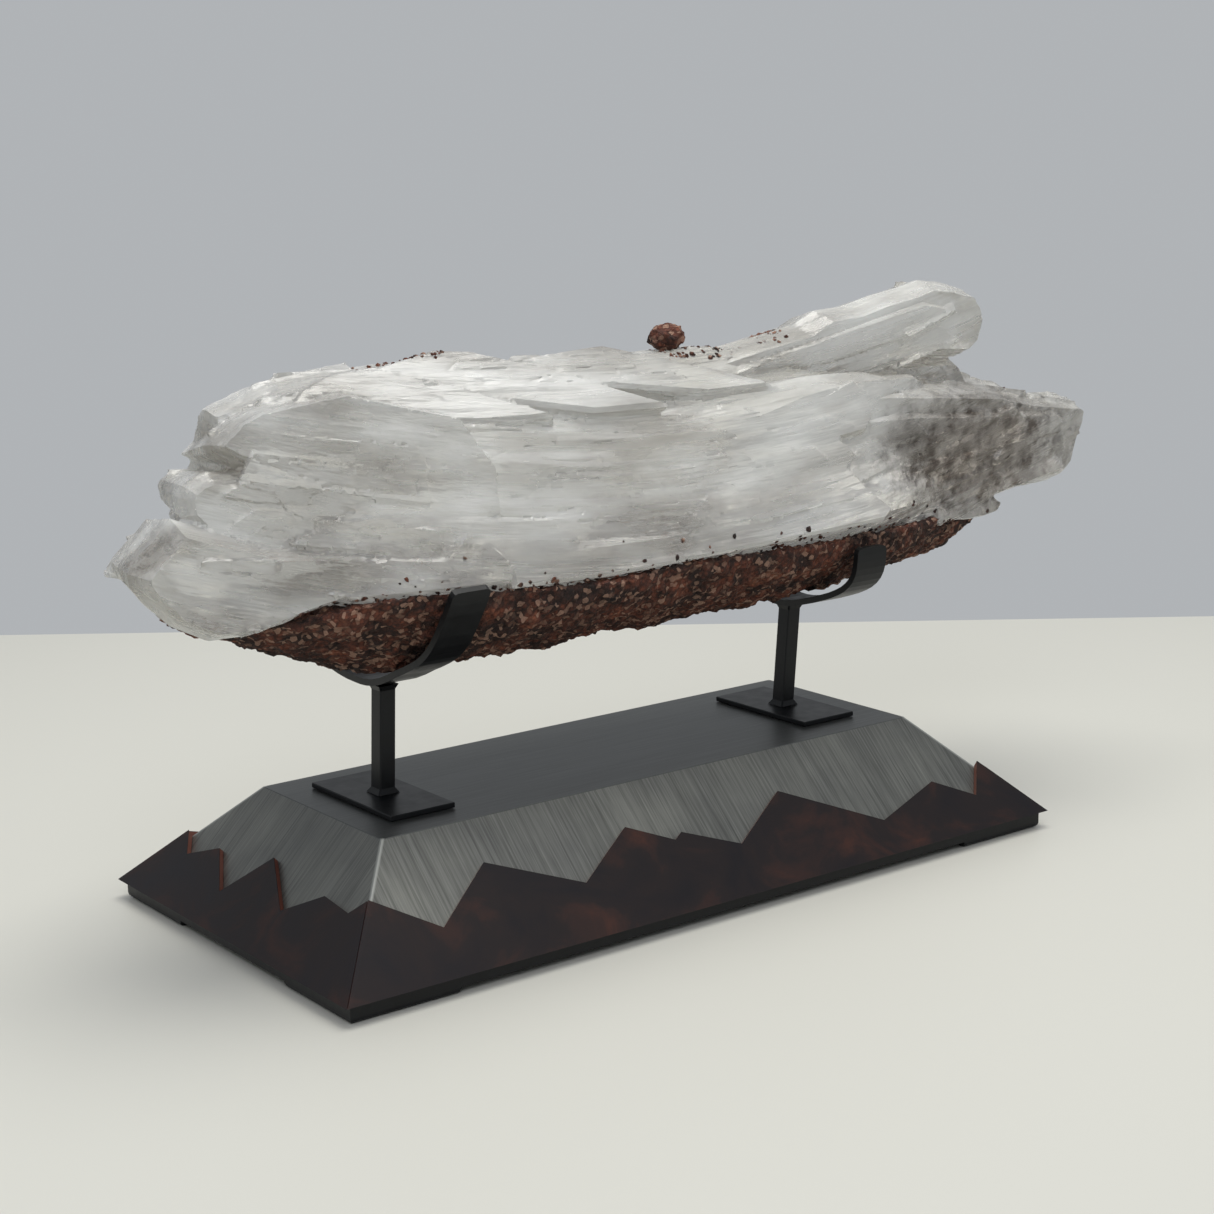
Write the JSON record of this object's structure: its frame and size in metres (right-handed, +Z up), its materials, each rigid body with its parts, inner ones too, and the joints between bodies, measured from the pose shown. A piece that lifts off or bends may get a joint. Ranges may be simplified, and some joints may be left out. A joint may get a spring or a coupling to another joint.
{
  "type": "selenite crystal blade on a steel display stand",
  "caption": "Long fanned selenite crystal on a crust of red matrix, resting in bent steel cradles on a sloped base with skyline plates.",
  "frame": {"origin": "middle of the whole object's outline seen from above, on the surface that the base's feet stand on", "axes": "+X along the crystal and the base, to the crystal's high end; +Y to the back; +Z up"},
  "size_m": [0.5566, 0.2046, 0.267],
  "materials": {
    "selenite": "translucent milky crystal with lengthwise striations and glassy cleavage faces",
    "red_matrix": "rough gritty red-brown rock crust",
    "satin_black_paint": "satin black paint over welded steel bar",
    "patinated_steel_sheet": "dark grey patina over cross-brushed sheet",
    "red_brown_patina_plate": "near-black purple-brown patina with red-brown mottling"
  },
  "bodies": {
    "root": {"selenite_blade": "selenite", "matrix_crust": "red_matrix", "matrix_nodule": "red_matrix", "cradle_left": "satin_black_paint", "cradle_right": "satin_black_paint", "post_left": "satin_black_paint", "post_right": "satin_black_paint", "foot_plate_left": "satin_black_paint", "foot_plate_right": "satin_black_paint", "base_shell": "patinated_steel_sheet", "base_rim": "satin_black_paint", "skyline_front": "red_brown_patina_plate", "skyline_right": "red_brown_patina_plate", "skyline_back": "red_brown_patina_plate", "skyline_left": "red_brown_patina_plate"}
  },
  "joints": []
}
